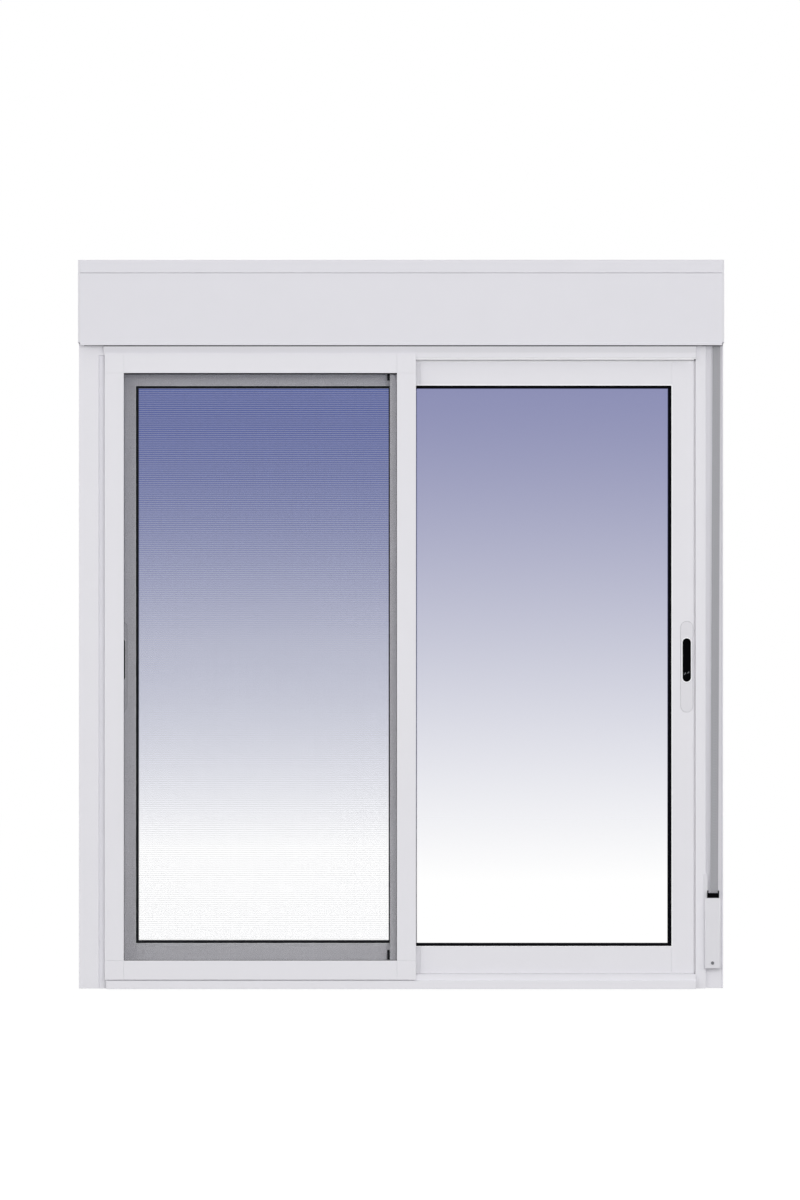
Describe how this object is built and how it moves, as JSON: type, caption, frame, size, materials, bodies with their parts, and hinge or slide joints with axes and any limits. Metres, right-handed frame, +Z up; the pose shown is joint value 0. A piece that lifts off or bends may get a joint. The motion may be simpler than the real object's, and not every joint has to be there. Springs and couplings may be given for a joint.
{
  "type": "horizontal sliding window",
  "caption": "White sliding window with roller-shutter box, strap recoiler and sliding insect screen, seen from the room.",
  "frame": {"origin": "middle of the sill's underside, on the plane between the two sash tracks", "axes": "+X to the right as seen from the room, +Y out through the wall, +Z up"},
  "size_m": [1.2, 0.161, 1.355],
  "materials": {
    "lacquered_aluminium": "satin",
    "box_pvc": "satin",
    "double_glazing": "polished",
    "epdm_rubber": "matte",
    "glass_fibre_mesh": "matte",
    "black_abs": "gloss",
    "white_abs": "satin",
    "polyester_webbing": "matte",
    "shutter_aluminium": "satin",
    "galvanised_steel": "satin"
  },
  "bodies": {
    "root": {"box_end_cap_left": "white_abs", "box_end_cap_right": "white_abs", "box_floor": "box_pvc", "box_front_cover": "box_pvc", "box_rear_cover": "box_pvc", "box_top_panel": "box_pvc", "frame_head": "lacquered_aluminium", "frame_jamb_left": "lacquered_aluminium", "frame_jamb_right": "lacquered_aluminium", "frame_sill": "lacquered_aluminium", "left_sash_bottom_rail": "lacquered_aluminium", "left_sash_gasket": "epdm_rubber", "left_sash_glass": "double_glazing", "left_sash_meeting_stile": "lacquered_aluminium", "left_sash_outer_stile": "lacquered_aluminium", "left_sash_pull_cup": "black_abs", "left_sash_pull_plate": "white_abs", "left_sash_top_rail": "lacquered_aluminium", "recoiler_base": "white_abs", "recoiler_cover": "white_abs", "recoiler_screw": "galvanised_steel", "right_sash_bottom_rail": "lacquered_aluminium", "right_sash_gasket": "epdm_rubber", "right_sash_glass": "double_glazing", "right_sash_meeting_stile": "lacquered_aluminium", "right_sash_outer_stile": "lacquered_aluminium", "right_sash_pull_cup": "black_abs", "right_sash_pull_plate": "white_abs", "right_sash_top_rail": "lacquered_aluminium", "screen_bottom_rail": "lacquered_aluminium", "screen_corners": "white_abs", "screen_left_stile": "lacquered_aluminium", "screen_mesh": "glass_fibre_mesh", "screen_right_stile": "lacquered_aluminium", "screen_top_rail": "lacquered_aluminium", "shutter_axle": "galvanised_steel", "shutter_end_slat": "shutter_aluminium", "shutter_guide_left": "shutter_aluminium", "shutter_guide_right": "shutter_aluminium", "shutter_roll": "shutter_aluminium", "shutter_stops": "epdm_rubber", "strap": "polyester_webbing", "strap_mouth": "black_abs", "strap_pulley": "white_abs"}
  },
  "joints": []
}
